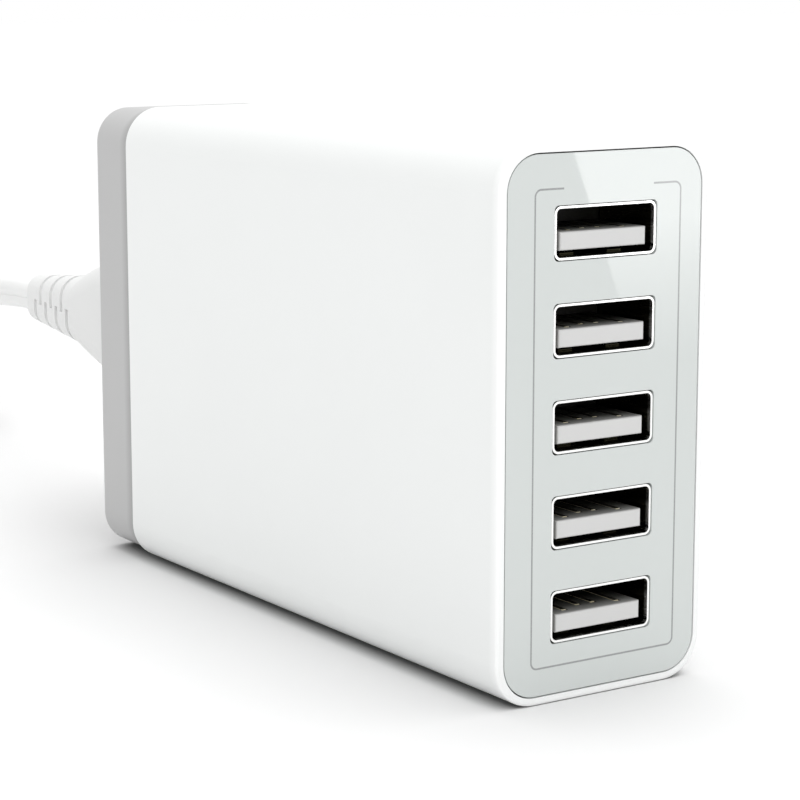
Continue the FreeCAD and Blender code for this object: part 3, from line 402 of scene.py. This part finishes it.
bpy.ops.object.select_all(action="DESELECT")
cord, cord_spline = new_curve("mains_cord", LEAD_ROUTE + coil_points() + TAIL_ROUTE, "NURBS")
cord_spline.order_u = 3
cord_spline.use_endpoint_u = True
cord_spline.resolution_u = 6
for control in cord_spline.points[:len(LEAD_ROUTE)]:
    control.tilt = CORD_LEAN
line = bpy.data.meshes.new_from_object(cord)
bpy.data.meshes.remove(line)

section, section_spline = new_curve("cord_section", cord_section(), "POLY")
section_spline.use_cyclic_u = True
cord.data.bevel_mode = "OBJECT"
cord.data.bevel_object = section
cord.data.use_fill_caps = True
cord.data.twist_mode = "Z_UP"
cord.select_set(True)
bpy.context.view_layer.objects.active = cord
bpy.ops.object.convert(target="MESH")
bpy.data.objects.remove(section)
bpy.ops.object.shade_smooth_by_angle(angle=math.radians(40))

jacket = moulded("cord_jacket", (0.87, 0.875, 0.87), drift=0.012, roughness=0.42, skin=3000, height=0.00003)
# Painted shade: the jacket is painted darker in the groove down each flat side.
paint_groove_shade(jacket, CORD_GROOVE_SHADE_REACH, dark=0.45, closed=0.35, opened=0.8)
cord.data.materials.append(jacket)

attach(cord, "root")
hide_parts("cord_run", "cord_coil", "cord_tail")

# Tie: a flat white strap of soft vinyl, closed round one run of the coil so that its layers stay
# together.
strap = moulded("tie_strap", (0.78, 0.78, 0.77), drift=0.015, roughness=0.5, skin=2600, height=0.00005)
dress(strap, "cord_tie")

# Plug: the mains plug at the far end, moulded on the cord in the connector's vinyl round two
# plated brass blades. It lies in the opening of the coil.
dress(vinyl, "plug_body")
dress(pin_metal, "plug_blades")

# Table: a wide pale sheet with a painted shadow, darker where the charger closes in on it, under a
# broad soft light from above and two weaker boxes from the front and the left. A bright card on the
# floor, seen only by reflections, makes the slanted shine on the panel.
SHEET_SHADOW_REACH = 0.04
SHEET_SHADOW_TONES = [(0.1, 0.24), (0.36, 0.62), (0.5, 0.8), (0.75, 0.83), (0.97, 0.88)]
CARD_CORNERS = [(0.6035, -0.84), (2, -0.84), (0.1415, -0.212), (2, -0.212)]
CARD_NEAR, CARD_FAR = -0.2, -0.42
CARD_FAINT, CARD_BRIGHT = 1.0, 3.8
SKY_LIGHT, SKY_SEEN = 0.6, 1.0

bpy.ops.object.select_all(action="DESELECT")
bpy.ops.mesh.primitive_plane_add(size=6)
table = bpy.context.object
table.name = "table"
sheet = new_finish("pale_sheet")
# Painted shadow: the sheet's colour is darkened where the charger closes in on it.
room = new_node(sheet, "ShaderNodeAmbientOcclusion", {"Distance": SHEET_SHADOW_REACH})
shadow_tones = [(openness, (grey, grey, grey)) for openness, grey in SHEET_SHADOW_TONES]
join(sheet, shades(sheet, room.outputs["AO"], shadow_tones), socket(sheet, "Base Color"))
socket(sheet, "Roughness").default_value = 0.9
socket(sheet, "Specular IOR Level").default_value = 0.0
table.data.materials.append(sheet)

bpy.ops.mesh.primitive_plane_add(size=1, location=(0, 0, 0.001))
card = bpy.context.object
card.name = "bright_card"
for corner, (across, back) in zip(card.data.vertices, CARD_CORNERS):
    corner.co = (across, back, 0)
glow = new_finish("card_glow")
shine = new_node(glow, "ShaderNodeEmission")
join(glow, along_depth(glow, CARD_NEAR, CARD_FAR, CARD_FAINT, CARD_BRIGHT), shine.inputs["Strength"])
join(glow, shine.outputs["Emission"], glow.node_tree.nodes["Material Output"].inputs["Surface"])
glow.node_tree.nodes.remove(glow.node_tree.nodes["Principled BSDF"])
card.data.materials.append(glow)
card.visible_camera = False
card.visible_diffuse = False
card.visible_shadow = False
card.visible_transmission = False

world = bpy.data.worlds.new("studio")
bpy.context.scene.world = world
world.use_nodes = True
sky = world.node_tree.nodes["Background"]
sky.inputs["Color"].default_value = (1, 1, 1, 1)
rays = new_node(world, "ShaderNodeLightPath")
seen = new_node(world, "ShaderNodeMath")
seen.operation = "MAXIMUM"
level = new_node(world, "ShaderNodeMapRange", {"To Min": SKY_LIGHT, "To Max": SKY_SEEN})
join(world, rays.outputs["Is Camera Ray"], seen.inputs[0])
join(world, rays.outputs["Is Glossy Ray"], seen.inputs[1])
join(world, seen.outputs["Value"], level.inputs["Value"])
join(world, level.outputs["Result"], sky.inputs["Strength"])


def lamp(name, kind, place, aim, power):
    """A lamp that stands at a place and looks at a point."""
    light = bpy.data.lights.new(name, kind)
    light.energy = power
    holder = bpy.data.objects.new(name, light)
    bpy.context.collection.objects.link(holder)
    holder.location = place
    holder.rotation_euler = (Vector(aim) - Vector(place)).to_track_quat("-Z", "Y").to_euler()
    return light


lamp("overhead", "SUN", (0.18, 0.08, 1.0), (0, 0, 0), 1.72).angle = math.radians(60)
lamp("front", "AREA", (-0.5, -1.05, 0.7), (0, 0, 0.03), 4.2).size = 0.8
lamp("left", "AREA", (-0.6, -0.1, 0.06), (0, 0, 0.02), 0.3).size = 0.3

camera = bpy.data.objects.new("camera", bpy.data.cameras.new("camera"))
bpy.context.collection.objects.link(camera)
camera.location = (-0.1555, -0.24, 0.0752)
camera.rotation_euler = (1.3964, 0, -0.5875)
camera.data.lens = 110.32
camera.data.sensor_width = 36
camera.data.clip_start = 0.01
bpy.context.scene.camera = camera
bpy.context.scene.view_settings.view_transform = "Standard"

bpy.context.view_layer.update()
